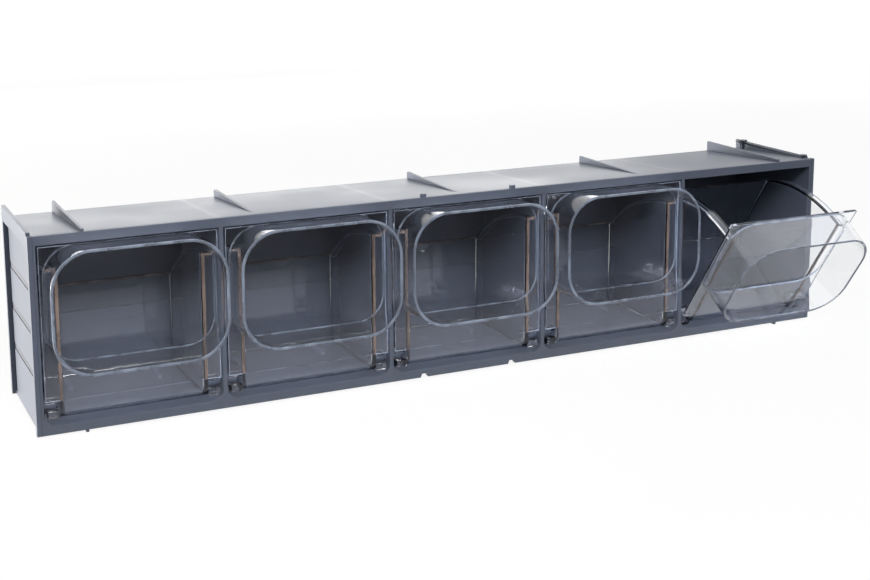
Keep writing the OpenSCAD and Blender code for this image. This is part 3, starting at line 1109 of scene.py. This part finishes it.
@dataclass
class Studio:
    """The pale floor, the soft light and the camera at the photograph's place."""

    floor_z: float = -65.9 * MM
    floor_size: float = 24.0
    floor_dark: tuple[float, float, float] = (0.12, 0.12, 0.12)
    floor_pale: tuple[float, float, float] = (0.14, 0.14, 0.14)
    floor_ramp: tuple[float, float] = (-0.32, -0.17)
    white_ramp: tuple[float, float] = (0.9, 2.2)
    white_near: float = 0.9
    surround: float = 0.08
    rear_ramp: tuple[float, float] = (-0.45, 0.1)
    sky_ramp: tuple[float, float] = (0.32, 0.55)
    lamps: tuple[Lamp, ...] = (
        Lamp("left_softbox", (-1.3, 0.45, 0.0), (0.9, 0.12), 38, colour=(1.0, 0.93, 0.84)),
        Lamp("rear_softbox", (0.1, 1.5, 0.33), (2.0, 0.5), 6.3),
        Lamp("front_softbox", (-0.45, -1.4, 1.1), (1.5, 0.35), 23, mirrored=False),
        Lamp("right_softbox", (1.05, -0.95, 1.05), (1.2, 0.9), 3))
    place: Vector = Vector((-0.4467, -0.9879, 0.2723))
    azimuth: float = 0.4407
    elevation: float = 0.1827
    roll: float = -0.0029
    focal_px: float = 1475.0
    photo_w: int = 870
    sensor_w: float = 36.0
    shift_x: float = -0.0015
    shift_y: float = -0.15

    def _floor(self) -> None:
        """A wide plain floor that is white to the eye and keeps the shadow."""
        bpy.ops.object.select_all(action="DESELECT")
        bpy.ops.mesh.primitive_plane_add(size=self.floor_size, location=(0, 0, self.floor_z))
        floor = Bench.made("studio_floor")
        sheet = Sheet(bpy.data.materials.new("white_floor"))
        faint = sheet.span(sheet.noise(3, 2, 0.5, seed=9.0), 0.3, 0.7)
        colour = sheet.tint(faint, (*self.floor_dark, 1), (*self.floor_pale, 1))
        diffuse = sheet.value(sheet.node("ShaderNodeBsdfDiffuse", {}, {"Color": colour}))
        # White to the eye, straight or through a bin, and mirrored white only towards the rear
        path = sheet.node("ShaderNodeLightPath")
        scattered = sheet.value(path, "Diffuse Depth").held()
        mirror = sheet.value(path, "Glossy Depth").held()
        through = sheet.value(path, "Is Transmission Ray") * (1 - scattered) * (1 - mirror)
        mirrored = mirror * (1 - scattered) * sheet.span(sheet.axis("Y"), *self.floor_ramp)
        seen = sheet.maths("MAXIMUM", sheet.value(path, "Is Camera Ray"), through + mirrored)
        away = sheet.value(sheet.node("ShaderNodeVectorMath", {"operation": "LENGTH"},
                                      {0: sheet.place()}), "Value")
        white = sheet.span(away, *self.white_ramp, self.white_near)
        glow = sheet.value(sheet.node("ShaderNodeEmission", {}, {"Color": seen * white}))
        both = sheet.value(sheet.node("ShaderNodeAddShader", {}, {0: diffuse, 1: glow}))
        Bench.dress(floor, sheet.finished(both))

    def _world(self) -> None:
        """A white surround that lights the cabinet only a little."""
        world = bpy.data.worlds.new("surround")
        bpy.context.scene.world = world
        sheet = Sheet(world)
        path = sheet.node("ShaderNodeLightPath")
        away = sheet.value(sheet.node("ShaderNodeTexCoord"), "Generated")
        parts = sheet.node("ShaderNodeSeparateXYZ", {}, {0: away})
        # What the plastic mirrors is white behind and above it, and dark in front
        rear = sheet.span(sheet.value(parts, "Y"), *self.rear_ramp)
        sky = sheet.span(sheet.value(parts, "Z"), *self.sky_ramp)
        mirrored = sheet.maths("MAXIMUM", rear, sky)
        # What is seen straight through the bins is white, what they light up isn't
        scattered = sheet.value(path, "Diffuse Depth").held()
        mirror = sheet.value(path, "Glossy Depth").held()
        level = sheet.blend(scattered, sheet.blend(mirror, 1.0, mirrored), self.surround)
        background = sheet.value(sheet.node("ShaderNodeBackground", {}, {"Color": level}))
        sheet.node("ShaderNodeOutputWorld", {}, {"Surface": background})

    def _camera(self) -> None:
        """The camera, from the fit of the CAD's corners to the photograph."""
        data = bpy.data.cameras.new("camera")
        data.sensor_width = self.sensor_w
        data.lens = self.focal_px / self.photo_w * self.sensor_w
        data.shift_x, data.shift_y = self.shift_x, self.shift_y
        data.clip_start, data.clip_end = 0.01, 100
        camera = bpy.data.objects.new("camera", data)
        bpy.context.scene.collection.objects.link(camera)
        ahead = Vector((math.cos(self.elevation) * math.sin(self.azimuth),
                        math.cos(self.elevation) * math.cos(self.azimuth),
                        -math.sin(self.elevation)))
        level = ahead.cross(Vector((0, 0, 1))).normalized()
        above = level.cross(ahead)
        right = math.cos(self.roll) * level + math.sin(self.roll) * above
        up = math.cos(self.roll) * above - math.sin(self.roll) * level
        turn = Matrix((right, up, -ahead)).transposed().to_4x4()
        camera.matrix_world = Matrix.Translation(self.place) @ turn
        bpy.context.scene.camera = camera

    def build(self) -> None:
        """Set up the floor, the light and the camera."""
        self._floor()
        self._world()
        for lamp in self.lamps:
            lamp.build()
        self._camera()
        bpy.context.scene.view_settings.view_transform = "Standard"
        log.info("studio: floor, surround, %d soft lamps, camera", len(self.lamps))


def main() -> None:
    """Build every sub-assembly in order."""
    logging.basicConfig(level=logging.INFO, format="%(name)s: %(message)s")
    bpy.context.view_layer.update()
    finish = MouldedPlastic("frame_plastic").make()
    # The rims and wall ends get a pale layer of painted light, beige on the wall ends
    clear = (ClearPlastic("clear_bins").make(), ClearPlastic("clear_rims", painted_light=0.42).make(),
             ClearPlastic("clear_wall_ends", painted_light=0.5, painted_light_colour=(0.34, 0.255, 0.215)).make())
    CabinetFrame().build(finish)
    TiltBin(finishes=clear).build()
    Studio().build()


if __name__ == "__main__":
    main()
